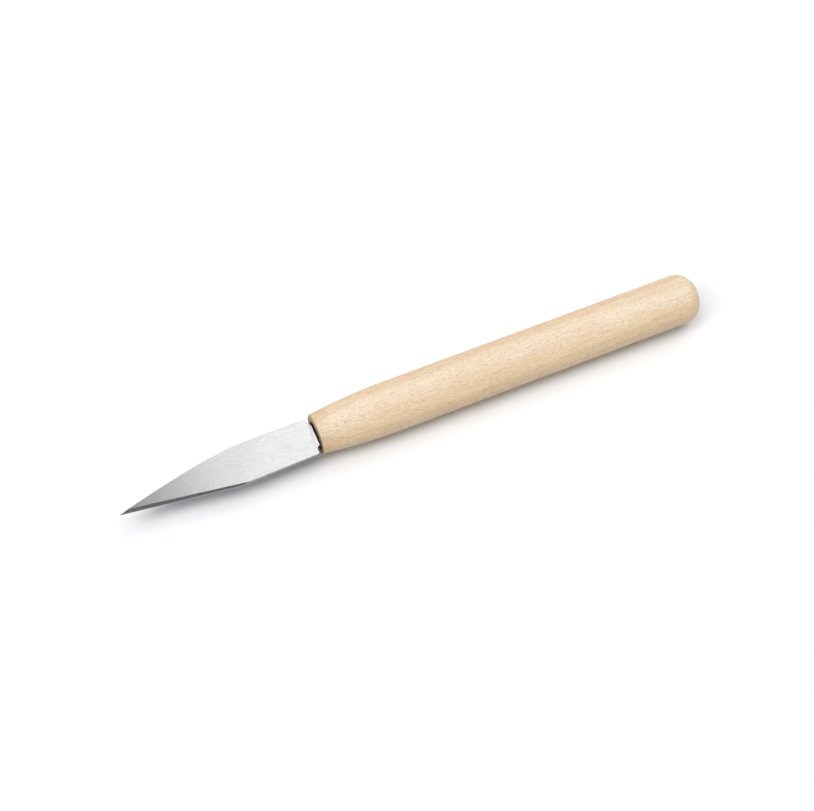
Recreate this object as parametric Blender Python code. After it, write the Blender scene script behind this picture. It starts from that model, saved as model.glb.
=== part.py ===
"""A pottery knife: a turned beech handle, and a flat steel blade whose tang is glued into a hole in it.

Metres, +Z up. The knife lies on its handle with the blade level: the point is towards -X, the butt
towards +X and the cutting edge towards -Y. The origin is on the surface that the knife lies on, under
the middle of its length. A reach is a distance in front of the handle's end face, towards the point.
An offset is a distance from the handle's axis, to either side.
"""

import math

import bmesh
import bpy
import numpy as np
from mathutils import Vector
from mathutils.geometry import interpolate_bezier

# Handle
HANDLE_LENGTH = 0.1292
HANDLE_DIAMETER = 0.01575
NOSE_DIAMETER = 0.01235  # at the front end face
NOSE_LENGTH = 0.026  # from the end face to where the handle reaches its full diameter
NOSE_EDGE_RADIUS = 0.0005
BUTT_DOME_LENGTH = 0.006

# Blade
BLADE_THICKNESS = 0.0012
SPINE_OFFSET = 0.0055
SPINE_STRAIGHT_REACH = 0.0198  # where the straight spine starts to curve
SPINE_TURN_REACH = 0.0324  # where the straight spine, carried on, would meet the line of the point's back
HEEL_OFFSET = 0.00643
BELLY_REACH = 0.0262
BELLY_OFFSET = 0.00713
BELLY_RADIUS = 0.012
POINT_REACH = 0.0620
POINT_OFFSET = 0.00245
POINT_THICKNESS = 0.0002
BEVEL_START_REACH = 0.0230
BEVEL_POINT_WIDTH = 0.00115  # the bevel's width at the point, square to the handle's axis
SHOULDER_REACH = 0.00105
SHOULDER_CORNER_RADIUS = 0.0006
TANG_WIDTH = 0.0070
TANG_OFFSET = 0.0005  # the tang's middle, towards the cutting side
TANG_LENGTH = 0.040  # inside the handle
TANG_ROOT_RADIUS = 0.0009
TANG_END_RADIUS = 0.001

# Glue between the tang and the hole
GLUE_SETBACK = 0.004  # behind the handle's end face, where the hole is still open
GLUE_LAYER = 0.0003  # at the tang's corners, where it is thinnest
GLUE_END_LAYER = 0.0014
FIT_GAP = 0.0003  # between the faces of two pieces that meet

# Smoothness of the round shapes
HANDLE_SIDES = 64
NOSE_STEPS = 12
EDGE_STEPS = 4
DOME_STEPS = 12
SPINE_STEPS = 16
CORNER_STEPS = 6
HOLE_SIDES = 32
SMOOTH_ANGLE = math.radians(30)
MERGE_DISTANCE = 1e-7
CUTTER_MARGIN = 0.002  # how far a cutter reaches out of the face that it enters

ROOM_WIDTH = TANG_WIDTH + 2 * FIT_GAP  # the room for the tang in the glue
ROOM_HEIGHT = BLADE_THICKNESS + 2 * FIT_GAP
GLUE_DIAMETER = math.hypot(ROOM_WIDTH, ROOM_HEIGHT) + 2 * GLUE_LAYER
HOLE_DIAMETER = GLUE_DIAMETER + 2 * FIT_GAP
HOLE_DEPTH = TANG_LENGTH + GLUE_END_LAYER + 2 * FIT_GAP


def clear_scene():
    for existing in list(bpy.data.objects):
        bpy.data.objects.remove(existing, do_unlink=True)


def add_frame():
    """The empty that carries the pieces, at the centre of the handle's front end face.

    The handle lies on one of its facets, so its axis is a facet's height above the surface.
    """
    frame = bpy.data.objects.new("knife", None)
    facet_height = HANDLE_DIAMETER / 2 * math.cos(math.pi / HANDLE_SIDES)
    frame.location = ((POINT_REACH - HANDLE_LENGTH) / 2, 0, facet_height)
    bpy.context.scene.collection.objects.link(frame)
    return frame


def add_object(name, shape, frame):
    mesh = bpy.data.meshes.new(name)
    shape.to_mesh(mesh)
    shape.free()
    added = bpy.data.objects.new(name, mesh)
    added.parent = frame
    bpy.context.scene.collection.objects.link(added)
    return added


def add_piece(name, shape, frame, material):
    piece = add_object(name, shape, frame)
    piece.data.materials.append(material)
    piece.data.shade_smooth()
    piece.data.set_sharp_from_angle(angle=SMOOTH_ANGLE)
    return piece


def cut_away(piece, name, shape, frame):
    cutter = add_object(name, shape, frame)
    cutter.hide_render = True
    cutter.display_type = "WIRE"
    cut = piece.modifiers.new(name, "BOOLEAN")
    cut.operation = "DIFFERENCE"
    cut.object = cutter


def finish(name, colour, roughness, metallic):
    material = bpy.data.materials.new(name)
    material.use_nodes = True
    surface = material.node_tree.nodes["Principled BSDF"]
    surface.inputs["Base Color"].default_value = (*colour, 1)
    surface.inputs["Roughness"].default_value = roughness
    surface.inputs["Metallic"].default_value = metallic
    return material


def turned(profile, sides):
    """A solid of revolution about X, from (along, radius) points that start and end on the axis.

    One of its facets faces straight down.
    """
    shape = bmesh.new()
    start = math.pi / sides - math.pi / 2
    outward = Vector((0, math.cos(start), math.sin(start)))
    points = [shape.verts.new(Vector((along, 0, 0)) + outward * radius) for along, radius in profile]
    lines = [shape.edges.new(ends) for ends in zip(points, points[1:])]
    bmesh.ops.spin(
        shape,
        geom=points + lines,
        cent=(0, 0, 0),
        axis=(1, 0, 0),
        angle=2 * math.pi,
        steps=sides,
        use_merge=True,
    )
    bmesh.ops.remove_doubles(shape, verts=shape.verts, dist=MERGE_DISTANCE)
    bmesh.ops.recalc_face_normals(shape, faces=shape.faces)
    return shape


def swept(shape, faces, path):
    """The closed solid that the faces, which lie in one plane, pass through along a straight path."""
    grown = bmesh.ops.extrude_face_region(shape, geom=faces)
    moved = [item for item in grown["geom"] if isinstance(item, bmesh.types.BMVert)]
    bmesh.ops.translate(shape, verts=moved, vec=path)
    bmesh.ops.recalc_face_normals(shape, faces=shape.faces)
    return shape


def bar(section, start, end):
    """A straight bar along X, with the same (y, z) section from start to end."""
    shape = bmesh.new()
    face = shape.faces.new([shape.verts.new((start, y, z)) for y, z in section])
    return swept(shape, [face], Vector((end - start, 0, 0)))


def circular(diameter):
    """A round section, centred on the tang."""
    turns = np.linspace(0, 2 * math.pi, HOLE_SIDES, endpoint=False)
    return [(diameter / 2 * math.cos(turn) - TANG_OFFSET, diameter / 2 * math.sin(turn)) for turn in turns]


def rectangular(width, height):
    """A level rectangle, centred on the tang."""
    corners = ((-1, -1), (1, -1), (1, 1), (-1, 1))
    return [(y * width / 2 - TANG_OFFSET, z * height / 2) for y, z in corners]


def rounded_corner(before, corner, after, radius):
    """The points of an arc that rounds the corner between two straight lines."""
    back = (before - corner).normalized()
    onward = (after - corner).normalized()
    half = back.angle(onward) / 2
    centre = corner + (back + onward).normalized() * radius / math.sin(half)
    start = corner + back * radius / math.tan(half) - centre
    end = corner + onward * radius / math.tan(half) - centre
    spread = start.angle(end)
    points = []
    for step in np.linspace(0, 1, CORNER_STEPS + 1):
        mix = start * math.sin((1 - step) * spread) + end * math.sin(step * spread)
        points.append(centre + mix / math.sin(spread))
    return points


def handle_profile():
    """(along, radius) points from the middle of the front end face to the end of the butt."""
    nose_radius = NOSE_DIAMETER / 2
    body_radius = HANDLE_DIAMETER / 2
    profile = [(0, 0)]
    for turn in np.linspace(0, math.pi / 2, EDGE_STEPS + 1):
        along = NOSE_EDGE_RADIUS * (1 - math.cos(turn))
        profile.append((along, nose_radius - NOSE_EDGE_RADIUS * (1 - math.sin(turn))))
    for share in np.linspace(0, 1, NOSE_STEPS + 1)[1:]:
        along = NOSE_EDGE_RADIUS + (NOSE_LENGTH - NOSE_EDGE_RADIUS) * share
        profile.append((along, body_radius - (body_radius - nose_radius) * (1 - share) ** 2))
    for turn in np.linspace(0, math.pi / 2, DOME_STEPS + 1):
        along = HANDLE_LENGTH - BUTT_DOME_LENGTH * (1 - math.sin(turn))
        profile.append((along, body_radius * math.cos(turn)))
    profile[-1] = (HANDLE_LENGTH, 0)
    return profile


def make_handle(frame):
    beech = finish("turned_beech", (0.80, 0.64, 0.45), 0.55, 0)
    handle = add_piece("handle", turned(handle_profile(), HANDLE_SIDES), frame, beech)
    cut_away(handle, "tang_hole", bar(circular(HOLE_DIAMETER), -CUTTER_MARGIN, HOLE_DEPTH), frame)


def cutting_side_offset(reach):
    reaches = (SHOULDER_REACH, BELLY_REACH, POINT_REACH)
    return np.interp(reach, reaches, (HEEL_OFFSET, BELLY_OFFSET, POINT_OFFSET))


def blade_outline():
    """The blade and its tang from above: runs of points along the cutting side, the tang and the spine."""
    point = Vector((-POINT_REACH, -POINT_OFFSET))
    belly = Vector((-BELLY_REACH, -BELLY_OFFSET))
    heel = Vector((-SHOULDER_REACH, -HEEL_OFFSET))
    low_root = Vector((-SHOULDER_REACH, -TANG_OFFSET - TANG_WIDTH / 2))
    low_end = Vector((TANG_LENGTH, low_root.y))
    high_root = Vector((-SHOULDER_REACH, -TANG_OFFSET + TANG_WIDTH / 2))
    high_end = Vector((TANG_LENGTH, high_root.y))
    spine_corner = Vector((-SHOULDER_REACH, SPINE_OFFSET))
    spine_bend = Vector((-SPINE_STRAIGHT_REACH, SPINE_OFFSET))
    turn = Vector((-SPINE_TURN_REACH, SPINE_OFFSET))

    cutting_side = [point]
    cutting_side += rounded_corner(point, belly, heel, BELLY_RADIUS)
    cutting_side += rounded_corner(belly, heel, low_root, SHOULDER_CORNER_RADIUS)
    cutting_side += rounded_corner(heel, low_root, low_end, TANG_ROOT_RADIUS)
    tang = rounded_corner(low_root, low_end, high_end, TANG_END_RADIUS)
    tang += rounded_corner(low_end, high_end, high_root, TANG_END_RADIUS)
    spine = rounded_corner(high_end, high_root, spine_corner, TANG_ROOT_RADIUS)
    spine += rounded_corner(high_root, spine_corner, spine_bend, SHOULDER_CORNER_RADIUS)
    # A quadratic curve's cubic handles lie two thirds of the way to its one control point.
    leave = spine_bend.lerp(turn, 2 / 3)
    arrive = point.lerp(turn, 2 / 3)
    spine += interpolate_bezier(spine_bend, leave, arrive, point, SPINE_STEPS + 1)[:-1]
    return cutting_side, tang, spine


def flat_blade():
    """The blade before it is ground, with its own flat faces kept apart from the tang's."""
    shape = bmesh.new()
    cutting_side, tang, spine = blade_outline()
    low = -BLADE_THICKNESS / 2
    runs = [[shape.verts.new((x, y, low)) for x, y, *_ in run] for run in (cutting_side, tang, spine)]
    whole = shape.faces.new(runs[0] + runs[1] + runs[2])
    bmesh.utils.face_split(whole, runs[0][-1], runs[2][0])
    return swept(shape, shape.faces[:], Vector((0, 0, BLADE_THICKNESS)))


def grind_bevel(shape, side):
    """Grinds one flat bevel along the cutting edge: side 1 is the upper face and -1 the lower one.

    The bevel runs out to nothing where it starts, and thins the blade most at the point.
    """
    level = side * BLADE_THICKNESS / 2
    start = Vector((-BEVEL_START_REACH, -cutting_side_offset(BEVEL_START_REACH), level))
    inner_end = Vector((-POINT_REACH, BEVEL_POINT_WIDTH - POINT_OFFSET, level))
    point = Vector((-POINT_REACH, -POINT_OFFSET, side * POINT_THICKNESS / 2))
    normal = (inner_end - start).cross(point - start).normalized()
    if normal.z * side < 0:
        normal.negate()
    ground = bmesh.ops.bisect_plane(
        shape,
        geom=shape.verts[:] + shape.edges[:] + shape.faces[:],
        dist=MERGE_DISTANCE,
        plane_co=start,
        plane_no=normal,
        clear_outer=True,
    )
    rim = [item for item in ground["geom_cut"] if isinstance(item, bmesh.types.BMEdge)]
    bmesh.ops.holes_fill(shape, edges=rim)


def make_blade(frame):
    steel = finish("brushed_steel", (0.62, 0.62, 0.63), 0.35, 1)
    shape = flat_blade()
    for side in (1, -1):
        grind_bevel(shape, side)
    bmesh.ops.recalc_face_normals(shape, faces=shape.faces)
    add_piece("blade", shape, frame, steel)


def make_tang_adhesive(frame):
    """The glue that fills the hole round the tang and behind it, up to a little behind the hole's mouth."""
    glue = finish("cured_glue", (0.30, 0.19, 0.09), 0.3, 0)
    plug = bar(circular(GLUE_DIAMETER), GLUE_SETBACK, HOLE_DEPTH - FIT_GAP)
    adhesive = add_piece("tang_adhesive", plug, frame, glue)
    room = bar(rectangular(ROOM_WIDTH, ROOM_HEIGHT), GLUE_SETBACK - CUTTER_MARGIN, TANG_LENGTH + FIT_GAP)
    cut_away(adhesive, "tang_room", room, frame)


def main():
    clear_scene()
    frame = add_frame()
    make_handle(frame)
    make_blade(frame)
    make_tang_adhesive(frame)


main()
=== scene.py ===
# %% [markdown]
# # A pottery knife, piece by piece
#
# This lesson dresses a pottery knife for the camera: a short flat steel blade in a round beech handle.
# The knife's solids are already modelled. They are the fixed frame of this script, and each piece made below
# takes the place of one of them, in metres and in the same place.
# The frame comes first, because every size that can be read from it is read, and not typed again.

import math

import bmesh
import bpy
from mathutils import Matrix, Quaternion, Vector
from mathutils.geometry import interpolate_bezier


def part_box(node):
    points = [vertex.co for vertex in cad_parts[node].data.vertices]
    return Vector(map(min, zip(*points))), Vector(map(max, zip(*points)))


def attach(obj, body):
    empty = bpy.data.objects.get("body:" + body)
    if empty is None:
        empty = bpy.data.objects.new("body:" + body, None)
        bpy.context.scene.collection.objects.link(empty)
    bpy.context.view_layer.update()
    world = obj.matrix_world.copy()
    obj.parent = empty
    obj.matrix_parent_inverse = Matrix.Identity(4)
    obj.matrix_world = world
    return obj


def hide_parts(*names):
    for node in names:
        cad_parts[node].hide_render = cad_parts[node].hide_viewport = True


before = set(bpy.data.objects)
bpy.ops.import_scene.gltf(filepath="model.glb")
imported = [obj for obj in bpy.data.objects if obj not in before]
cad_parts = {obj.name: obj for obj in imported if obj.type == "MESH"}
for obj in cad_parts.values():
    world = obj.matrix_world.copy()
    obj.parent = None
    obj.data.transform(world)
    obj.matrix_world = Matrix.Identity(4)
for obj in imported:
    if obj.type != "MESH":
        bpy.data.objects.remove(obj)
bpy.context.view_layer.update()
print("nodes in the frame:", sorted(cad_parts))

# %% [markdown]
# ## Where the knife lies
#
# The knife lies along X on its round handle, with the point towards -X, the butt towards +X and the
# cutting edge towards -Y. The handle's axis is at y = 0.
# The boxes of the three solids give the handle's two ends, the height of its axis, its radius, and the
# level and thickness of the blade.

# %% Read the main places from the frame
handle_low, handle_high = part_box("handle")
blade_low, blade_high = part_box("blade")
glue_low, glue_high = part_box("tang_adhesive")
front_x = handle_low.x
butt_x = handle_high.x
axis_z = (handle_low.z + handle_high.z) / 2
handle_radius = (handle_high.z - handle_low.z) / 2
blade_thickness = blade_high.z - blade_low.z
print(f"handle from x = {front_x:.4f} to {butt_x:.4f}, radius {handle_radius:.5f}, axis at z = {axis_z:.5f}")
print(f"blade {blade_thickness * 1000:.2f} mm thick, point at x = {blade_low.x:.4f}")

# %% [markdown]
# ## The handle: a dowel on the lathe
#
# The real handle starts as a beech dowel. On the lathe its front is turned down in a long curve, and
# its back end is rounded over to a dome.
# A profile swept round with Spin would also give this shape. Here a cylinder is the dowel, Bisect
# scores a ring round it at each station, and Resize turns each ring down to its own radius, because a
# turner works in the same order and each ring can be measured.
# An operator acts on all that is selected, and loading the frame leaves its solids selected, so
# everything is deselected before a primitive is added.

# %% Put the dowel in the lathe
HANDLE_SIDES = 128


def put_tools_down():
    """Leaves edit mode and deselects everything, so that the next operator meets only its own piece."""
    if bpy.context.mode != "OBJECT":
        bpy.ops.object.mode_set(mode="OBJECT")
    bpy.ops.object.select_all(action="DESELECT")


def name_piece(name):
    """Names the newly added primitive, moves its place into its mesh, and opens it for editing."""
    piece = bpy.context.object
    piece.name = name
    piece.data.name = name
    bpy.ops.object.transform_apply(location=True, rotation=True, scale=True)
    bpy.ops.object.mode_set(mode="EDIT")
    return piece


put_tools_down()
bpy.ops.mesh.primitive_cylinder_add(
    vertices=HANDLE_SIDES,
    radius=handle_radius,
    depth=butt_x - front_x,
    location=((front_x + butt_x) / 2, 0, axis_z),
    rotation=(0, math.pi / 2, 0),
)
handle = name_piece("beech_handle")
print("dowel:", [round(size * 1000, 2) for size in handle.dimensions], "mm")

# %% [markdown]
# ## The nose and the butt
#
# The nose tapers in a parabola that meets the straight body without a step, and the butt is half of a
# flattened ball. All rings are scored while the dowel is still straight, so that each one starts at
# the full radius, and then each is scaled about the axis.
# As it is called here, Bisect makes no cut within a tenth of a millimetre of a ring that is already
# there. So the dome goes without the two rings nearest to the butt's end, and ends as a very flat cone.

# %% Score the rings and turn them down
NOSE_LENGTH = 0.026
NOSE_DROP = 0.0017  # how far the front end face's radius is below the body's
BUTT_DOME_LENGTH = 0.006
NOSE_STATIONS = 20
DOME_STATIONS = 18
DOME_RINGS = 15  # the others are too close to the butt's end to be cut
SAME_PLACE = 1e-6


def select(kind, wanted):
    """In edit mode, selects the vertices, edges or faces that are wanted, and says how many there are."""
    bpy.ops.mesh.select_mode(type=kind)
    bpy.ops.mesh.select_all(action="DESELECT")
    shape = bmesh.from_edit_mesh(bpy.context.object.data)
    items = {"VERT": shape.verts, "EDGE": shape.edges, "FACE": shape.faces}[kind]
    found = [item for item in items if wanted(item)]
    for item in found:
        item.select_set(True)
    shape.select_flush_mode()
    bmesh.update_edit_mesh(bpy.context.object.data)
    return len(found)


def at_x(x):
    return lambda vertex: abs(vertex.co.x - x) < SAME_PLACE


stations = []
for step in range(NOSE_STATIONS):
    share = step / NOSE_STATIONS
    stations.append((front_x + NOSE_LENGTH * share, handle_radius - NOSE_DROP * (1 - share) ** 2))
for step in range(1, DOME_RINGS + 1):
    turn = math.pi / 2 * step / DOME_STATIONS
    stations.append((butt_x - BUTT_DOME_LENGTH * (1 - math.sin(turn)), handle_radius * math.cos(turn)))

straight_ends = [(front_x + NOSE_LENGTH, handle_radius), (butt_x - BUTT_DOME_LENGTH, handle_radius)]
for x, _ in stations[1:] + straight_ends:
    bpy.ops.mesh.select_all(action="SELECT")
    bpy.ops.mesh.bisect(plane_co=(x, 0, 0), plane_no=(1, 0, 0))
for x, radius in stations:
    select("VERT", at_x(x))
    turned_down = radius / handle_radius
    bpy.ops.transform.resize(value=(1, turned_down, turned_down), center_override=(x, 0, axis_z))
select("VERT", at_x(butt_x))
bpy.ops.mesh.merge(type="CENTER")
print("rings turned:", len(stations), "of", len(stations) + len(straight_ends) + 1)

# %% [markdown]
# ## The front rim
#
# Sandpaper takes the sharp corner off the front end face and leaves a small round. Bevel makes it: the
# rim's edges are found by their place, at the front and away from the axis.

# %% Sand the front rim round
RIM_ROUND = 0.0006
RIM_SEGMENTS = 5


def lies_at_front(edge):
    return all(abs(vertex.co.x - front_x) < SAME_PLACE for vertex in edge.verts)


rim_edges = select("EDGE", lies_at_front)
bpy.ops.mesh.bevel(offset=RIM_ROUND, segments=RIM_SEGMENTS, affect="EDGES")
print("rim edges rounded:", rim_edges)

# %% [markdown]
# ## The hole for the tang
#
# A round hole is drilled into the front end face. It is plainly bigger than the tang, so the photograph
# shows it open and dark above the blade and on both sides of it.
# The drill is a cylinder that starts in front of the end face, so that the cut leaves no skin there. A
# Boolean modifier takes it away from the handle, and is applied. The glue that fills the hole gives the
# hole's place and size.

# %% Drill the hole
HOLE_SIDES = 64
CUTTER_MARGIN = 0.002
GLUE_GAP = 0.0003  # between the glue and what it holds
tang_y = (glue_low.y + glue_high.y) / 2
hole_radius = (glue_high.y - glue_low.y) / 2 + GLUE_GAP
hole_end_x = glue_high.x + GLUE_GAP


def round_bar(name, start_x, end_x, radius):
    """A round bar along X, centred on the tang. It is left open for editing."""
    put_tools_down()
    bpy.ops.mesh.primitive_cylinder_add(
        vertices=HOLE_SIDES,
        radius=radius,
        depth=end_x - start_x,
        location=((start_x + end_x) / 2, tang_y, axis_z),
        rotation=(0, math.pi / 2, 0),
    )
    return name_piece(name)


def cut_away(piece, cutter):
    """Takes the cutter's shape out of the piece, and removes the cutter."""
    put_tools_down()
    bpy.context.view_layer.objects.active = piece
    piece.select_set(True)
    cut = piece.modifiers.new("cut", "BOOLEAN")
    cut.operation = "DIFFERENCE"
    cut.object = cutter
    bpy.ops.object.modifier_apply(modifier=cut.name)
    bpy.data.objects.remove(cutter, do_unlink=True)


cut_away(handle, round_bar("drill", front_x - CUTTER_MARGIN, hole_end_x, hole_radius))
print(f"hole {hole_radius * 2000:.1f} mm across, {(hole_end_x - front_x) * 1000:.0f} mm deep")

# %% [markdown]
# ## The hole's mouth
#
# Handling wears the hole's sharp wooden lip a little, and a worn lip catches a thin line of light. The
# lip's edges are the ones at the front where two faces meet at a steep angle. The handle is then shaded
# smooth, and Weighted Normal keeps the flat end face flat beside its round rim.

# %% Break the lip and finish the handle's mesh
LIP_BREAK = 0.00014
LIP_SEGMENTS = 2
STEEP = math.radians(60)
SMOOTH_ANGLE = math.radians(35)


def is_lip(edge):
    return lies_at_front(edge) and len(edge.link_faces) == 2 and edge.calc_face_angle() > STEEP


def finish_mesh(piece, smooth_angle):
    """Merges doubles, turns all faces outwards, and shades the piece smooth up to an angle."""
    bpy.ops.mesh.select_all(action="SELECT")
    bpy.ops.mesh.remove_doubles(threshold=SAME_PLACE / 10)
    bpy.ops.mesh.normals_make_consistent(inside=False)
    put_tools_down()
    bpy.context.view_layer.objects.active = piece
    piece.select_set(True)
    bpy.ops.object.shade_smooth_by_angle(angle=smooth_angle)
    level = piece.modifiers.new("level_flats", "WEIGHTED_NORMAL")
    level.keep_sharp = True
    bpy.ops.object.modifier_apply(modifier=level.name)
    piece.select_set(False)


bpy.ops.object.mode_set(mode="EDIT")
lip_edges = select("EDGE", is_lip)
bpy.ops.mesh.bevel(offset=LIP_BREAK, segments=LIP_SEGMENTS, affect="EDGES")
finish_mesh(handle, SMOOTH_ANGLE)
print("lip edges broken:", lip_edges, "faces in the handle:", len(handle.data.polygons))

# %% [markdown]
# ## The blade: cut from sheet steel
#
# The blade is one flat piece of sheet steel. Its spine is straight and then curves down to the point,
# and its cutting side runs straight to a low belly and straight on to the point.
# From above, the blade in front of its shoulders bulges outwards everywhere. Such a shape can be cut out
# of a strip by straight cuts alone, as with shears: each Bisect removes what is outside one line and
# fills the cut. The curved spine is a row of short cuts.

# %% Shear the blade's outline out of a strip
SHOULDER_REACH = 0.00105  # a reach is a distance in front of the handle's end face
HEEL_OFFSET = 0.00643  # an offset is a distance from the handle's axis
BELLY_REACH = 0.0262
BELLY_OFFSET = 0.00713
POINT_OFFSET = 0.00245
SPINE_STRAIGHT_REACH = 0.0198
SPINE_TURN_REACH = 0.0324
SPINE_CUTS = 28
SPINE_PULL = 2 / 3  # control points this far along make a curve with one turning point
EXACT = 1e-7  # a cut that takes off less than this is left out
spine_y = blade_high.y
shoulder_x = front_x - SHOULDER_REACH
point = Vector((blade_low.x, -POINT_OFFSET, axis_z))
belly = Vector((front_x - BELLY_REACH, -BELLY_OFFSET, axis_z))
heel = Vector((shoulder_x, -HEEL_OFFSET, axis_z))
spine_bend = Vector((front_x - SPINE_STRAIGHT_REACH, spine_y, axis_z))
spine_turn = Vector((front_x - SPINE_TURN_REACH, spine_y, axis_z))


def shear(start, end):
    """Cuts the strip along an upright plane through two points, and drops what is on its left."""
    outward = Vector((start.y - end.y, end.x - start.x, 0)).normalized()
    bpy.ops.mesh.select_all(action="SELECT")
    bpy.ops.mesh.bisect(plane_co=start, plane_no=outward, use_fill=True, clear_outer=True, threshold=EXACT)


put_tools_down()
bpy.ops.mesh.primitive_cube_add(
    size=1,
    location=((point.x + shoulder_x) / 2, (spine_y - BELLY_OFFSET) / 2, axis_z),
    scale=(shoulder_x - point.x, spine_y + BELLY_OFFSET, blade_thickness),
)
blade = name_piece("steel_blade")
spine_pulls = (spine_bend.lerp(spine_turn, SPINE_PULL), point.lerp(spine_turn, SPINE_PULL))
spine = interpolate_bezier(spine_bend, *spine_pulls, point, SPINE_CUTS + 1)
outline = [heel, belly, point, *reversed(spine[:-1])]
for start, end in zip(outline, outline[1:]):
    shear(start, end)
print("cuts:", len(outline) - 1)

# %% [markdown]
# ## The tang
#
# Behind two square shoulders the steel goes on as a narrower tang, which is hidden in the handle but for
# its first millimetre. The shoulder's face is divided in three, the two new upright edges are moved to
# the tang's sides, and the middle face is extruded.

# %% Draw out the tang
TANG_WIDTH = 0.0070
TANG_LENGTH = 0.040  # inside the handle
FACING = 0.99  # the least share of a normal that points the way a face is said to face
tang_sides = (tang_y - TANG_WIDTH / 2, tang_y + TANG_WIDTH / 2)
tang_end_x = front_x + TANG_LENGTH


def crosses_shoulder(edge):
    first, second = [vertex.co for vertex in edge.verts]
    is_level = abs(first.z - second.z) < SAME_PLACE
    return is_level and all(abs(end.x - shoulder_x) < SAME_PLACE for end in (first, second))


def at_shoulder(y):
    return lambda vertex: at_x(shoulder_x)(vertex) and abs(vertex.co.y - y) < 2 * SAME_PLACE


def is_root_of_tang(face):
    return face.normal.x > FACING and abs(face.calc_center_median().y - tang_y) < TANG_WIDTH / 4


select("EDGE", crosses_shoulder)
bpy.ops.mesh.subdivide(number_cuts=2)
shoulder_ys = (-HEEL_OFFSET, spine_y)
for third, side_y in zip((1, 2), tang_sides):
    cut_y = shoulder_ys[0] + (shoulder_ys[1] - shoulder_ys[0]) * third / 3
    select("VERT", at_shoulder(cut_y))
    bpy.ops.transform.translate(value=(0, side_y - cut_y, 0))
select("FACE", is_root_of_tang)
bpy.ops.mesh.extrude_region_move(TRANSFORM_OT_translate={"value": (tang_end_x - shoulder_x, 0, 0)})
print(f"tang {TANG_WIDTH * 1000:.1f} mm wide, {TANG_LENGTH * 1000:.0f} mm inside the handle")

# %% [markdown]
# ## The root of the tang
#
# In the photo the steel is bright right up to the hole. A level tang would mirror the handle's dark end
# there, so the tang seems to rise a little towards the handle. The rise here is a guess: a seventh of a
# millimetre on each side, enough to mirror a lamp. It ends just in front of the hole, where the steel is
# dark in the photo, and from there the tang tapers to its end.
# Bisect marks where the rise ends, and Resize thickens the tang there.

# %% Raise the root of the tang
RISE_REACH = 0.0001  # where it ends, in front of the handle's end face
RISE_SLOPE = math.radians(9)
rise_end = front_x - RISE_REACH
bpy.ops.mesh.select_all(action="SELECT")
bpy.ops.mesh.bisect(plane_co=(rise_end, 0, 0), plane_no=(1, 0, 0), threshold=EXACT)
found = select("VERT", at_x(rise_end))
thicker = 1 + 2 * (rise_end - shoulder_x) * math.tan(RISE_SLOPE) / blade_thickness
bpy.ops.transform.resize(value=(1, 1, thicker), center_override=(rise_end, 0, axis_z))
print(f"{found} corners of the tang raised to {blade_thickness * thicker * 1000:.2f} mm")

# %% [markdown]
# ## Corners of the blade
#
# No corner that is cut from sheet stays sharp: the shoulders are filed, the inner corners at the root
# of the tang are left round so that the steel doesn't crack there, and the belly is a gentle round. Each
# is one Bevel of the upright edge that stands at its place.

# %% Round the upright corners
BELLY_RADIUS = 0.012
SHOULDER_CORNER_RADIUS = 0.0006
TANG_ROOT_RADIUS = 0.0009
TANG_END_RADIUS = 0.001
CORNER_SEGMENTS = 7


def round_corner(x, y, offset):
    """Bevels the upright edge at a place, and says how many edges it found there."""

    def stands_there(edge):
        return all(abs(end.co.x - x) + abs(end.co.y - y) < 4 * SAME_PLACE for end in edge.verts)

    found = select("EDGE", stands_there)
    bpy.ops.mesh.bevel(offset=offset, segments=CORNER_SEGMENTS, affect="EDGES")
    return found


belly_turn = (heel - belly).angle(belly - point)
corners = [(belly.x, belly.y, BELLY_RADIUS * math.tan(belly_turn / 2))]
corners += [(shoulder_x, y, SHOULDER_CORNER_RADIUS) for y in shoulder_ys]
corners += [(shoulder_x, y, TANG_ROOT_RADIUS) for y in tang_sides]
corners += [(tang_end_x, y, TANG_END_RADIUS) for y in tang_sides]
print("corners rounded:", sum(round_corner(*corner) for corner in corners), "of", len(corners))

# %% [markdown]
# ## The ground bevel
#
# The cutting edge is ground on both sides from the belly to the point. The bevel runs out to nothing at
# the belly and is widest at the point. On a grinding wheel that is one flat pass on each side, and here
# it is one slanted Bisect on each side, along a plane through three points of the bevel.

# %% Grind the cutting edge
BEVEL_START_REACH = 0.0230
BEVEL_POINT_WIDTH = 0.00115
POINT_THICKNESS = 0.0002
along_heel = (BEVEL_START_REACH - SHOULDER_REACH) / (BELLY_REACH - SHOULDER_REACH)
bevel_start = heel.lerp(belly, along_heel)
for side in (1, -1):
    level = Vector((0, 0, side * blade_thickness / 2))
    start = bevel_start + level
    inner = point + level + Vector((0, BEVEL_POINT_WIDTH, 0))
    edge_point = point + Vector((0, 0, side * POINT_THICKNESS / 2))
    facing = (inner - start).cross(edge_point - start).normalized()
    facing = facing if facing.z * side > 0 else -facing
    bpy.ops.mesh.select_all(action="SELECT")
    bpy.ops.mesh.bisect(plane_co=start, plane_no=facing, use_fill=True, clear_outer=True, threshold=EXACT)
bevel_lean = facing.angle((0, 0, -1))
print("bevel leans", round(math.degrees(bevel_lean), 1), "degrees from the flat")

# %% [markdown]
# ## Edges of the steel
#
# The spine, the shoulders and the unground part of the cutting side have their burr taken off with a
# stroke of a file, which leaves an edge that glints. A fine Bevel makes it. The edges wanted are those
# between a flat side and an upright wall, outside the handle, and short of the ground point.

# %% Take off the burr and finish the blade's mesh
BURR_BREAK = 0.00006
BURR_SEGMENTS = 2
POINT_ROOM = 0.004  # the last stretch before the point is left as ground
BLADE_SMOOTH_ANGLE = math.radians(5)
UPRIGHT = 0.05  # the most height that an upright face's normal has


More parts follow.
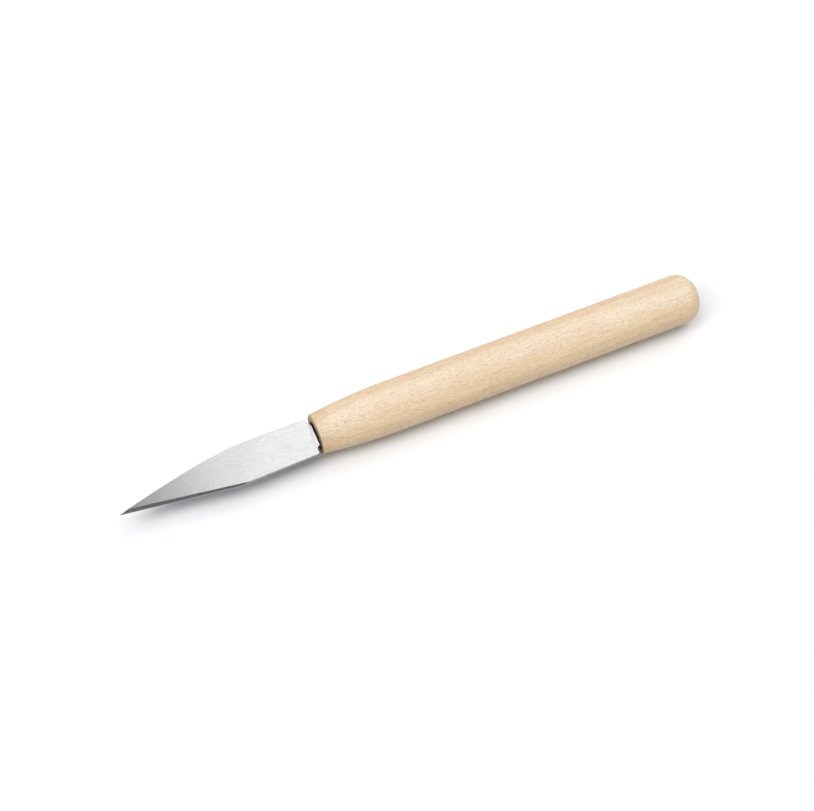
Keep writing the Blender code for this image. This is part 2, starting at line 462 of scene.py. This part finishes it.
def has_burr(edge):
    if len(edge.link_faces) != 2 or max(v.co.x for v in edge.verts) > front_x - SAME_PLACE:
        return False
    if min(v.co.x for v in edge.verts) < point.x + POINT_ROOM:
        return False
    leans = sorted(abs(face.normal.z) for face in edge.link_faces)
    return leans[0] < UPRIGHT and leans[1] > FACING


burrs = select("EDGE", has_burr)
bpy.ops.mesh.bevel(offset=BURR_BREAK, segments=BURR_SEGMENTS, affect="EDGES")
finish_mesh(blade, BLADE_SMOOTH_ANGLE)
print("edges broken:", burrs, "faces in the blade:", len(blade.data.polygons))

# %% [markdown]
# ## Marking the cut faces
#
# The flats were brushed before the blade was cut out. The bevels were ground later, and the sheared edges
# are the roughest. Both are painted darker than the flats, partly for their finish and partly as painted
# shade for the dim room and shadowed floor that they mirror. The steel's finish has to know them apart, and
# a number on each face does that: 0 on the flats, 0.5 on the bevels and 1 on the edges. A face's normal
# tells which it is.
# A flat map from above gives the steel's finish the direction of the blade's length.

# %% Mark the cut faces and map the blade from above
MAP_SIZE = 0.1
STEEP_BEVEL = 0.6
FLAT_MARK = 0.0
BEVEL_MARK = 0.5
EDGE_MARK = 1.0


def mark_for(face):
    lean = abs(face.normal.z)
    if lean > FACING:
        return FLAT_MARK
    return BEVEL_MARK if lean > STEEP_BEVEL else EDGE_MARK


cut_mark = blade.data.attributes.new("cut_mark", "FLOAT", "FACE")
for face in blade.data.polygons:
    cut_mark.data[face.index].value = mark_for(face)
flat_map = blade.data.uv_layers.new(name="from_above")
for corner in blade.data.loops:
    spot = blade.data.vertices[corner.vertex_index].co
    flat_map.data[corner.index].uv = (spot.x / MAP_SIZE, (spot.y + spot.z) / MAP_SIZE)
marks = [mark.value for mark in cut_mark.data]
print("flats, bevels and edges:", [marks.count(mark) for mark in (FLAT_MARK, BEVEL_MARK, EDGE_MARK)])

# %% [markdown]
# ## The glue
#
# Brown glue holds the tang in its hole. It fills the hole to a few millimetres behind the mouth, and it
# sinks in the middle as it sets. It is a round bar a little thinner than the drill, with a flat slot for
# the tang, which a Boolean cuts, and a front face that is inset and pushed back.

# %% Fill the hole round the tang
GLUE_SINK = 0.0004
GLUE_LIP = 0.00011
glue = round_bar("tang_glue", glue_low.x, glue_high.x, hole_radius - GLUE_GAP)
put_tools_down()
bpy.ops.mesh.primitive_cube_add(
    size=1,
    location=((front_x + tang_end_x + GLUE_GAP) / 2, tang_y, axis_z),
    scale=(tang_end_x + GLUE_GAP - front_x, TANG_WIDTH + 2 * GLUE_GAP, blade_thickness + 2 * GLUE_GAP),
)
cut_away(glue, name_piece("tang_room"))
bpy.ops.object.mode_set(mode="EDIT")
sunk = select("FACE", lambda face: face.normal.x < -FACING and at_x(glue_low.x)(face.verts[0]))
bpy.ops.mesh.inset(thickness=GLUE_LIP, depth=-GLUE_SINK, use_even_offset=True)
finish_mesh(glue, SMOOTH_ANGLE)
print("front faces sunk:", sunk, "faces in the glue:", len(glue.data.polygons))

# %% [markdown]
# ## Hanging the pieces on the frame
#
# Nothing on this knife moves, so all three pieces ride on the one body, root. Each stands for its solid,
# which is then hidden.

# %% Give each piece its body and hide its solid
for piece, node, slot_name in (
    (handle, "handle", "turned_beech"),
    (blade, "blade", "brushed_steel"),
    (glue, "tang_adhesive", "cured_glue"),
):
    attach(piece, "root")
    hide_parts(node)
    print(piece.name, "stands for", node)

# %% [markdown]
# ## Tools for the finishes
#
# A finish is a small network of shader nodes. A few short helpers keep the networks readable: place adds
# a node with its settings and inputs, calc and calc_vector do sums, fade turns a value's range into
# another with soft ends, tint lays one colour over another, and new_finish starts a material.

# %% Node helpers


def place(tree, kind, inputs=None, **settings):
    """Adds a shader node. An input is a plain value, or another node's output to link."""
    node = tree.nodes.new(kind)
    for setting, value in settings.items():
        setattr(node, setting, value)
    for socket, value in (inputs or {}).items():
        if isinstance(value, bpy.types.NodeSocket):
            tree.links.new(value, node.inputs[socket])
        else:
            node.inputs[socket].default_value = value
    return node


def calc(tree, operation, first, second=0.0, third=0.0, clamp=False):
    """A sum with up to three numbers."""
    inputs = {0: first, 1: second, 2: third}
    return place(tree, "ShaderNodeMath", inputs, operation=operation, use_clamp=clamp).outputs[0]


def calc_vector(tree, operation, first, second=(0, 0, 0)):
    """A sum with two places, or the length of one."""
    outputs = place(tree, "ShaderNodeVectorMath", {0: first, 1: second}, operation=operation).outputs
    return outputs["Value" if operation == "LENGTH" else "Vector"]


def fade(tree, value, low, high, start=0.0, end=1.0):
    """Goes softly from start to end while the value goes from low to high."""
    inputs = {"Value": value, "From Min": low, "From Max": high, "To Min": start, "To Max": end}
    return place(tree, "ShaderNodeMapRange", inputs, interpolation_type="SMOOTHSTEP").outputs["Result"]


def tint(tree, amount, under, over, blend="MIX"):
    """Lays one colour over another by an amount."""
    inputs = {0: amount, 6: under, 7: over}
    return place(tree, "ShaderNodeMix", inputs, data_type="RGBA", blend_type=blend).outputs[2]


def new_finish(name):
    """A material with one Principled surface, and its Object coordinates."""
    material = bpy.data.materials.new(name)
    material.use_nodes = True
    tree = material.node_tree
    surface = tree.nodes["Principled BSDF"]
    place_in_object = place(tree, "ShaderNodeTexCoord").outputs["Object"]
    return material, tree, surface, place_in_object


print("node helpers ready")

# %% [markdown]
# ## Two effects that the finishes share
#
# Wood fibres and the scratches of a sanding belt have the same form: streaks that are long in one
# direction and very thin in the other two. Cloudy mottling is on wood, steel and glue alike. Each is a
# node group that is built once, and every finish places it with its own sizes.
# A group only puts out numbers between 0 and 1, and the finish decides what they do.

# %% Build the shared node groups
NOISE_DETAIL = 2.0
NOISE_RANGE = (0.3, 0.7)  # most of a noise lies in this range, which is spread out to 0 and 1


def start_group(name, sizes):
    """An empty group that takes a place and some sizes, and puts out one amount."""
    group = bpy.data.node_groups.new(name, "ShaderNodeTree")
    group.interface.new_socket("Place", in_out="INPUT", socket_type="NodeSocketVector")
    for size in sizes:
        group.interface.new_socket(size, in_out="INPUT", socket_type="NodeSocketFloat")
    group.interface.new_socket("Amount", in_out="OUTPUT", socket_type="NodeSocketFloat")
    return group, group.nodes.new("NodeGroupInput").outputs, group.nodes.new("NodeGroupOutput").inputs


def put_out_noise(group, where, scale, results):
    inputs = {"Vector": where, "Scale": scale, "Detail": NOISE_DETAIL}
    noise = place(group, "ShaderNodeTexNoise", inputs).outputs[0]
    group.links.new(fade(group, noise, *NOISE_RANGE), results["Amount"])


def build_streaks():
    """Streaks along X. Length and Width are the size of one streak in metres."""
    group, given, results = start_group("streaks_along_the_piece", ("Length", "Width"))
    sizes = {"X": given["Length"], "Y": given["Width"], "Z": given["Width"]}
    streak = place(group, "ShaderNodeCombineXYZ", sizes).outputs[0]
    put_out_noise(group, calc_vector(group, "DIVIDE", given["Place"], streak), 1.0, results)
    return group


def build_mottle():
    """Soft clouds. Size is the breadth of one cloud in metres."""
    group, given, results = start_group("soft_mottle", ("Size",))
    put_out_noise(group, given["Place"], calc(group, "DIVIDE", 1.0, given["Size"]), results)
    return group


def from_group(tree, group, **inputs):
    """Places a shared group in a finish and returns its amount."""
    return place(tree, "ShaderNodeGroup", inputs, node_tree=group).outputs["Amount"]


streak_group = build_streaks()
mottle_group = build_mottle()
print("groups:", [group.name for group in bpy.data.node_groups])

# %% [markdown]
# ## Beech: the log
#
# Beech is pale and warm, with faint growth rings and fine rays. One flat wood colour would show none of
# this. So the finish thinks of the log: Mapping turns the handle's coordinates until their Z runs out
# from the middle of the tree. The distance from the middle, divided by the width of a ring, counts the
# years, and the fraction that is left over tells early wood from late wood. Noise makes the rings wander.

# %% Find the rings of the log
LOG_TURN = math.radians(-20)  # the rings lie flat to the surface a little on the near side of the top
LOG_RUN_OUT = math.radians(0.9)  # the grain isn't quite parallel to the handle
LOG_DEPTH = 0.052  # from the middle of the tree to the handle
RING_WIDTH = 0.0021
RING_WANDER = 1.6  # in rings
WANDER_SCALE = 38.0
WANDER_DETAIL = 1.0
LATE_WOOD_GROWS = (0.25, 0.92)  # as shares of a ring's width
LATE_WOOD_STOPS = (0.94, 1.0)
OFF_AXIS = (0, 1, 1)  # takes out the part that runs along the handle

beech, tree, surface, where = new_finish("satin_beech")
log_place = {"Vector": where, "Location": (0, 0, LOG_DEPTH), "Rotation": (LOG_TURN, LOG_RUN_OUT, 0)}
log = place(tree, "ShaderNodeMapping", log_place).outputs[0]
wander_place = {"Vector": log, "Scale": WANDER_SCALE, "Detail": WANDER_DETAIL}
wander = place(tree, "ShaderNodeTexNoise", wander_place).outputs[0]
from_middle = calc_vector(tree, "LENGTH", calc_vector(tree, "MULTIPLY", log, OFF_AXIS))
ring_count = calc(tree, "DIVIDE", from_middle, RING_WIDTH)
ring_count = calc(tree, "MULTIPLY_ADD", wander, RING_WANDER, ring_count)
ring_share = calc(tree, "FRACT", ring_count)
late_wood = fade(tree, ring_share, *LATE_WOOD_GROWS)
late_wood = calc(tree, "MULTIPLY", late_wood, fade(tree, ring_share, *LATE_WOOD_STOPS, 1.0, 0.0))
print("beech nodes for the rings:", len(tree.nodes))

# %% [markdown]
# ## Beech: fibres, pores and rays
#
# Where the handle's surface lies along the rings, the rays show as short dark dashes along the grain.
# Where it cuts across the rings, the rings show as straight streaks. Between them the wood is full of
# pores, too fine to count, which make it look speckled.
# Fibres and pores are the shared streaks, long ones and short ones. The rays come from Voronoi, which
# puts one point into each cell of a grid: the cells have a ray's proportions, and the random colour of a
# cell decides how strong its ray is.

# %% Draw the fibres, pores and rays
FIBRE = {"Length": 0.0055, "Width": 0.00032}
PORE = {"Length": 0.0011, "Width": 0.00026}
WOOD_CLOUD = 0.012
RAY_PITCH = (0.0027, 0.00056, 0.0032)  # along the grain, along a ring, and out from the middle
RAY_EDGE = (0.12, 0.30)  # as shares of the pitch
RAY_LUCK = (0.20, 0.90)

fibres = from_group(tree, streak_group, Place=where, **FIBRE)
pores = from_group(tree, streak_group, Place=where, **PORE)
clouds = from_group(tree, mottle_group, Place=where, Size=WOOD_CLOUD)
ray_place = {"Vector": calc_vector(tree, "DIVIDE", log, RAY_PITCH), "Scale": 1.0, "Randomness": 1.0}
rays = place(tree, "ShaderNodeTexVoronoi", ray_place).outputs
ray_luck = place(tree, "ShaderNodeSeparateColor", {0: rays["Color"]}).outputs[0]
ray_shape = fade(tree, rays["Distance"], *RAY_EDGE, 1.0, 0.0)
ray_dashes = calc(tree, "MULTIPLY", ray_shape, fade(tree, ray_luck, *RAY_LUCK))
print("beech nodes with the grain:", len(tree.nodes))

# %% [markdown]
# ## Beech: colour
#
# Late wood and soft clouds warm the pale wood. Fibres and pores only darken what is under them, so their
# colours are multiplied with it. A ray has a brown of its own, which is laid over.

# %% Colour the beech
PALE_BEECH = (1.0, 0.873, 0.71, 1)
WARM_BEECH = (0.94, 0.735, 0.525, 1)
FIBRE_SHADE = (0.92, 0.86, 0.77, 1)
PORE_SHADE = (0.88, 0.825, 0.755, 1)
RAY_BROWN = (0.54, 0.32, 0.155, 1)
RING_WARMTH = 0.42
CLOUD_WARMTH = 0.14
RAY_STRENGTH = 0.52

warmth = calc(tree, "MULTIPLY", late_wood, RING_WARMTH)
warmth = calc(tree, "MULTIPLY_ADD", clouds, CLOUD_WARMTH, warmth, clamp=True)
colour = tint(tree, warmth, PALE_BEECH, WARM_BEECH)
colour = tint(tree, fibres, colour, FIBRE_SHADE, "MULTIPLY")
colour = tint(tree, pores, colour, PORE_SHADE, "MULTIPLY")
colour = tint(tree, calc(tree, "MULTIPLY", ray_dashes, RAY_STRENGTH), colour, RAY_BROWN)
print("beech nodes with the colours:", len(tree.nodes))

# %% [markdown]
# ## The handle's flanks and nose
#
# The near flank is painted warmer and lighter, to a red above what wood can throw back: painted light. The
# far flank is painted darker: painted shade. The last few millimetres of the nose are a little darker too.
# These places are found by how far they are from the handle's axis, and how far behind its end face.

# %% Tint the flanks and the nose
NEAR_FLANK_PAINTED_LIGHT = (1.08, 0.995, 0.855, 1)
PAINTED_LIGHT_SIDE = (-0.0015, -0.0068)  # the tint grows from the first place across the handle to the second
FAR_FLANK_PAINTED_SHADE = (0.94, 0.855, 0.745, 1)
PAINTED_SHADE_SIDE = (0.0005, 0.006)
DARKER_NOSE = (0.91, 0.87, 0.81, 1)
NOSE_DARKENING = (0.0005, 0.007)  # the darkening goes off from the first place behind the end face to the second

spot = place(tree, "ShaderNodeSeparateXYZ", {0: where}).outputs
behind_face = calc(tree, "SUBTRACT", spot["X"], front_x)
# painted light on the near flank, painted shade on the far flank
colour = tint(tree, fade(tree, spot["Y"], *PAINTED_LIGHT_SIDE), colour, NEAR_FLANK_PAINTED_LIGHT, "MULTIPLY")
colour = tint(tree, fade(tree, spot["Y"], *PAINTED_SHADE_SIDE), colour, FAR_FLANK_PAINTED_SHADE, "MULTIPLY")
# the nose is darker towards its end face
colour = tint(tree, fade(tree, behind_face, *NOSE_DARKENING, 1.0, 0.0), colour, DARKER_NOSE, "MULTIPLY")
print("beech nodes with the flanks:", len(tree.nodes))

# %% [markdown]
# ## The handle's ends
#
# On both ends the grain is cut across, drinks up the finish and looks darker, and the butt's end grain is
# darkened less. The front end face is painted much darker than the butt: darker end grain and painted shade.
# Below the blade, on the cutting edge's side, it gets more painted shade, from the blade above it. The ends
# are found by their normals, and the shade below the blade by its place across.

# %% Darken the end grain and paint shade on the front
END_GRAIN_AND_SHADE = (0.42, 0.28, 0.165, 1)
END_LEAN = (0.35, 0.95)  # how much of a normal runs along the handle
FRONT_DEPTH = (0.0004, 0.004)
BUTT_AMOUNT = 0.22
FRONT_GRAIN_AND_SHADE = 0.85
SHADE_BELOW_BLADE = (0.09, 0.045, 0.02, 1)
SHADE_BELOW_BLADE_SIDE = (0.001, -0.005)
SHADE_BELOW_BLADE_STRENGTH = 0.9

normal = place(tree, "ShaderNodeNewGeometry").outputs["Normal"]
along = calc(tree, "ABSOLUTE", place(tree, "ShaderNodeSeparateXYZ", {0: normal}).outputs["X"])
cut_across = fade(tree, along, *END_LEAN)
is_front = fade(tree, behind_face, *FRONT_DEPTH, 1.0, 0.0)
end_grain_and_shade = fade(tree, is_front, 0.0, 1.0, BUTT_AMOUNT, FRONT_GRAIN_AND_SHADE)
# darker end grain on both ends, with painted shade on the front end face
colour = tint(tree, calc(tree, "MULTIPLY", cut_across, end_grain_and_shade), colour, END_GRAIN_AND_SHADE)
# painted shade on the front end face below the blade
shaded_below_blade = calc(tree, "MULTIPLY", cut_across, is_front)
shaded_below_blade = calc(tree, "MULTIPLY", shaded_below_blade, fade(tree, spot["Y"], *SHADE_BELOW_BLADE_SIDE))
colour = tint(tree, calc(tree, "MULTIPLY", shaded_below_blade, SHADE_BELOW_BLADE_STRENGTH), colour, SHADE_BELOW_BLADE)
print("beech nodes with the ends:", len(tree.nodes))

# %% [markdown]
# ## The wall of the hole
#
# Inside the hole the wall is painted nearly black: painted shade for the deep, narrow hole, over wood that
# glue has soaked. The wall is found by being within the drill's radius, behind the end face, and not beyond
# the hole's end.

# %% Darken the hole
HOLE_SHADE_AND_GLUE = (0.12, 0.085, 0.06, 1)
HOLE_WALL_EDGE = (0.0001, 0.0003)  # outside the drill's radius
MOUTH_EDGE = (0.00005, 0.0003)  # behind the end face
END_EDGE = (0.0, 0.001)  # beyond the hole's end

from_drill = calc_vector(tree, "SUBTRACT", where, (0, tang_y, axis_z))
from_drill = calc_vector(tree, "LENGTH", calc_vector(tree, "MULTIPLY", from_drill, OFF_AXIS))
outside_drill = calc(tree, "SUBTRACT", from_drill, hole_radius)
beyond_end = calc(tree, "SUBTRACT", spot["X"], hole_end_x)
in_hole = fade(tree, outside_drill, *HOLE_WALL_EDGE, 1.0, 0.0)
in_hole = calc(tree, "MULTIPLY", in_hole, fade(tree, behind_face, *MOUTH_EDGE))
in_hole = calc(tree, "MULTIPLY", in_hole, fade(tree, beyond_end, *END_EDGE, 1.0, 0.0))
# painted shade inside the hole
colour = tint(tree, in_hole, colour, HOLE_SHADE_AND_GLUE)
tree.links.new(colour, surface.inputs["Base Color"])
print("beech nodes with the hole:", len(tree.nodes))

# %% [markdown]
# ## The handle's sheen
#
# The sanded wood is satin, and its pores are rougher than the wood between them. Pores and rays are a
# hair lower than the rest. That is far too fine to model, so it drives a Bump.

# %% Give the wood its sheen
SATIN = (0.46, 0.56)  # the roughness between pores and in them
RAY_SINK = -0.7
PORE_SINK = -0.4
OPEN_GRAIN_STRENGTH = 0.35
OPEN_GRAIN_DEPTH = 0.00003


def add_relief(tree, surface, height, strength, depth):
    """Lets a height tilt the surface's normal."""
    relief = {"Height": height, "Strength": strength, "Distance": depth}
    tree.links.new(place(tree, "ShaderNodeBump", relief).outputs[0], surface.inputs["Normal"])


tree.links.new(fade(tree, pores, 0.0, 1.0, *SATIN), surface.inputs["Roughness"])
hollows = calc(tree, "MULTIPLY_ADD", ray_dashes, RAY_SINK, calc(tree, "MULTIPLY", pores, PORE_SINK))
add_relief(tree, surface, hollows, OPEN_GRAIN_STRENGTH, OPEN_GRAIN_DEPTH)
handle.data.materials.append(beech)
print("beech nodes in all:", len(tree.nodes))

# %% [markdown]
# ## Brushed steel: the scratches
#
# The sheet was brushed along its length with a belt before the blade was cut. The scratches are finer
# than the picture's dots, so most of what they do is in the shader: they blur reflections much more
# across the blade than along it. That is the Principled surface's Anisotropic value, a constant. It
# takes its direction from the blade's flat map.
# The scratches that can be seen are faint. They come from the shared streaks, many fine ones and a few
# broad ones, with a little mottling.

# %% Brush the steel
ANISOTROPY = 0.8
QUARTER_TURN = 0.25
FINE_SCRATCH = {"Length": 0.0008, "Width": 0.00022}
BROAD_SCRATCH = {"Length": 0.012, "Width": 0.0004}
STEEL_CLOUD = 0.009
FINE_SHARE = 0.69
BROAD_SHARE = 0.14
CLOUD_SHARE = 0.17

steel, tree, surface, where = new_finish("belt_brushed_steel")
surface.inputs["Metallic"].default_value = 1.0
surface.inputs["Anisotropic"].default_value = ANISOTROPY
surface.inputs["Anisotropic Rotation"].default_value = QUARTER_TURN
length_way = place(tree, "ShaderNodeTangent", direction_type="UV_MAP", uv_map="from_above")
tree.links.new(length_way.outputs[0], surface.inputs["Tangent"])
fine = from_group(tree, streak_group, Place=where, **FINE_SCRATCH)
broad = from_group(tree, streak_group, Place=where, **BROAD_SCRATCH)
clouds = from_group(tree, mottle_group, Place=where, Size=STEEL_CLOUD)
shade = calc(tree, "MULTIPLY", fine, FINE_SHARE)
shade = calc(tree, "MULTIPLY_ADD", broad, BROAD_SHARE, shade)
shade = calc(tree, "MULTIPLY_ADD", clouds, CLOUD_SHARE, shade, clamp=True)
print("steel nodes for the scratches:", len(tree.nodes))

# %% [markdown]
# ## Ground and sheared steel
#
# The bevels were ground on a wheel, across the edge, so their scratches run crosswise. They are painted
# darker than the flats and the sheared edges darker still: partly their rougher finish, partly painted shade
# for the dim room and shadowed floor they mirror. The number on each face says which colour it gets.

# %% Colour the steel
GRIND_WAY = math.radians(82)
GRIND_SCRATCH = {"Length": 0.004, "Width": 0.00012}
STEEL_LIGHT = (0.476, 0.476, 0.482, 1)
STEEL_DARK = (0.426, 0.426, 0.433, 1)
GROUND_LIGHT_AND_SHADE = (0.385, 0.375, 0.365, 1)
GROUND_DARK_AND_SHADE = (0.295, 0.287, 0.28, 1)
SHEARED_AND_SHADE = (0.30, 0.295, 0.287, 1)

grind_place = place(tree, "ShaderNodeMapping", {"Vector": where, "Rotation": (0, 0, GRIND_WAY)}).outputs[0]
crosswise = from_group(tree, streak_group, Place=grind_place, **GRIND_SCRATCH)
mark = place(tree, "ShaderNodeAttribute", attribute_name="cut_mark").outputs["Fac"]
is_cut = fade(tree, mark, FLAT_MARK, BEVEL_MARK)
is_sheared = fade(tree, mark, BEVEL_MARK, EDGE_MARK)
brushed = tint(tree, shade, STEEL_DARK, STEEL_LIGHT)
# the bevels' and edges' colours are partly their finish and partly painted shade
ground = tint(tree, crosswise, GROUND_DARK_AND_SHADE, GROUND_LIGHT_AND_SHADE)
colour = tint(tree, is_cut, brushed, ground)
colour = tint(tree, is_sheared, colour, SHEARED_AND_SHADE)
tree.links.new(colour, surface.inputs["Base Color"])
print("steel nodes with the colours:", len(tree.nodes))

# %% [markdown]
# ## The steel's gloss
#
# A scratch is bright because it is a clean cut, and it is also smoother than the steel beside it. So the
# same streaks that colour the steel set its roughness, and a very low Bump.

# %% Give the steel its gloss
BRUSHED_ROUGH = (0.26, 0.24)  # beside a scratch and in it
GROUND_ROUGH = (0.28, 0.20)
SCRATCH_STRENGTH = 0.08
SCRATCH_DEPTH = 0.000004


def choose(tree, amount, under, over):
    """Goes from one value to another by an amount."""
    inputs = {0: amount, 2: under, 3: over}
    return place(tree, "ShaderNodeMix", inputs, data_type="FLOAT").outputs[0]


brushed_rough = fade(tree, shade, 0.0, 1.0, *BRUSHED_ROUGH)
ground_rough = fade(tree, crosswise, 0.0, 1.0, *GROUND_ROUGH)
tree.links.new(choose(tree, is_cut, brushed_rough, ground_rough), surface.inputs["Roughness"])
add_relief(tree, surface, choose(tree, is_cut, shade, crosswise), SCRATCH_STRENGTH, SCRATCH_DEPTH)
blade.data.materials.append(steel)
print("steel nodes in all:", len(tree.nodes))

# %% [markdown]
# ## Cured glue
#
# The glue is a brown resin, shiny where it set against air, with darker clouds where it soaked up wood
# dust. Mottling in two sizes colours it, and the small one gives it faint dimples.

# %% Make the cured glue
GLUE_AMBER = (0.33, 0.20, 0.09, 1)
GLUE_DARK = (0.17, 0.09, 0.04, 1)
DUST_CLOUD = 0.0016
DIMPLE = 0.0005
GLUE_GLOSS = (0.22, 0.42)
DIMPLE_STRENGTH = 0.5
DIMPLE_DEPTH = 0.00008

resin, tree, surface, where = new_finish("set_brown_glue")
dust = from_group(tree, mottle_group, Place=where, Size=DUST_CLOUD)
dimples = from_group(tree, mottle_group, Place=where, Size=DIMPLE)
tree.links.new(tint(tree, dust, GLUE_DARK, GLUE_AMBER), surface.inputs["Base Color"])
tree.links.new(fade(tree, dimples, 0.0, 1.0, *GLUE_GLOSS), surface.inputs["Roughness"])
add_relief(tree, surface, dimples, DIMPLE_STRENGTH, DIMPLE_DEPTH)
glue.data.materials.append(resin)
print("glue nodes:", len(tree.nodes))

# %% [markdown]
# ## The floor
#
# The knife lies on plain white paper. Light Path tells the shader who is looking: the camera, and the
# steel that mirrors the room, see pure white, while the light that bounces on to the handle sees paper,
# which throws back a little over three fifths of what falls on it. The floor keeps the knife's shadow
# either way. Far from the knife the paper turns into an even white glow, so that it has no visible end.

# %% Lay the floor
FLOOR_SIZE = 12.0
PAPER = (0.63, 0.63, 0.63, 1)
WHITE = (1.0, 1.0, 1.0, 1)
EVEN_GLOW = (0.30, 0.90)  # from where to where it grows, in metres from the middle


def is_seen(tree):
    """1 for what the camera sees, also in a mirror or through glass, and 0 for light that bounces."""
    looker = place(tree, "ShaderNodeLightPath").outputs
    seen = calc(tree, "MAXIMUM", looker["Is Camera Ray"], looker["Is Glossy Ray"])
    return calc(tree, "MAXIMUM", seen, looker["Is Transmission Ray"])


put_tools_down()
bpy.ops.mesh.primitive_plane_add(size=FLOOR_SIZE, location=(0, 0, 0))
floor = bpy.context.object
floor.name = "paper_floor"
paper, tree, surface, where = new_finish("white_paper")
seen = is_seen(tree)
tree.links.new(tint(tree, seen, PAPER, WHITE), surface.inputs["Base Color"])
surface.inputs["Roughness"].default_value = 1.0
surface.inputs["Specular IOR Level"].default_value = 0.0
glow = place(tree, "ShaderNodeEmission", {"Color": WHITE, "Strength": 1.0})
distance = calc_vector(tree, "LENGTH", where)
far_off = calc(tree, "MULTIPLY", fade(tree, distance, *EVEN_GLOW), seen)
both = place(tree, "ShaderNodeMixShader", {0: far_off, 1: surface.outputs[0], 2: glow.outputs[0]})
tree.links.new(both.outputs[0], tree.nodes["Material Output"].inputs["Surface"])
floor.data.materials.append(paper)
print("floor:", FLOOR_SIZE, "m square")

# %% [markdown]
# ## Lamps
#
# Lamps hang level above the knife, and two of them are large, so shadows are soft. A narrow strip reaches
# out over the point's side, lengthwise to the knife, and throws the dark line under the handle. A broad,
# weaker panel is over the butt's side, and its edge, mirrored in the steel, makes the blade bright at the
# handle and dark at the point. A small card beside them is what the rising tang mirrors.
# A lamp's power follows from how bright its face should look and from its size.

# %% Hang the lamps
LAMP_HEIGHT = 2.5


def hang_lamp(name, x, y, length, width, brightness):
    """Hangs a level lamp that faces the floor. Brightness 1 is that of white paper in full light."""
    bpy.ops.object.light_add(type="AREA", location=(x, y, LAMP_HEIGHT))
    lamp = bpy.context.object
    lamp.name = name
    lamp.data.shape = "RECTANGLE"
    lamp.data.size = length
    lamp.data.size_y = width
    lamp.data.energy = brightness * math.pi * length * width
    print(f"{name}: {length} x {width} m, {lamp.data.energy:.0f} W")


hang_lamp("point_strip", x=-1.75, y=-0.03, length=2.80, width=1.20, brightness=4.75)
hang_lamp("butt_panel", x=1.465, y=0.64, length=2.63, width=2.65, brightness=2.1)
hang_lamp("small_card", x=-0.38, y=1.00, length=0.36, width=0.90, brightness=3.0)

# %% [markdown]
# ## The room
#
# The room is the world: grey walls with a touch of blue near the horizon, and a dim ceiling, which keeps
# the bevel dark. Where the floor ends, a camera that looks along it sees the same white as on the floor.
# The height of a line of sight, 0 when level and 1 straight up, tells the walls from the ceiling.

# %% Paint the room
WALL = (0.475, 0.50, 0.53, 1)
CEILING = (0.21, 0.22, 0.235, 1)
WALL_TOP = (0.28, 0.44)
HORIZON_TOP = (0.24, 0.30)

room_world = bpy.data.worlds.new("studio")
room_world.use_nodes = True
bpy.context.scene.world = room_world
tree = room_world.node_tree
way = place(tree, "ShaderNodeTexCoord").outputs["Generated"]
height = place(tree, "ShaderNodeSeparateXYZ", {0: way}).outputs["Z"]
room_colour = tint(tree, fade(tree, height, *WALL_TOP), WALL, CEILING)
horizon = calc(tree, "MULTIPLY", is_seen(tree), fade(tree, height, *HORIZON_TOP, 1.0, 0.0))
tree.links.new(tint(tree, horizon, room_colour, WHITE), tree.nodes["Background"].inputs["Color"])
print("room nodes:", len(tree.nodes))

# %% [markdown]
# ## The camera
#
# The photograph looks down on the knife at about 65 degrees, from the point's side, and is turned by a
# few degrees so that the knife lies across the picture. The picture is 814 dots wide, and the lens
# follows from how the handle narrows towards its far end.

# %% Set up the camera
CAMERA_PLACE = Vector((-0.11880, -0.19113, 0.48130))
CAMERA_AIM = Vector((-0.004296, -0.001639, 0.007990))
CAMERA_ROLL = math.radians(8.26)
CAMERA_LENS = 76.66
CAMERA_NEAR = 0.01  # nothing closer is drawn

bpy.ops.object.camera_add(location=CAMERA_PLACE)
camera = bpy.context.object
camera.name = "photo_camera"
upright = (CAMERA_AIM - CAMERA_PLACE).to_track_quat("-Z", "Y")
camera.rotation_euler = (upright @ Quaternion((0, 0, 1), CAMERA_ROLL)).to_euler()
camera.data.lens = CAMERA_LENS
camera.data.clip_start = CAMERA_NEAR
bpy.context.scene.camera = camera
bpy.context.scene.view_settings.view_transform = "Standard"
print("camera at", [round(value, 3) for value in CAMERA_PLACE])
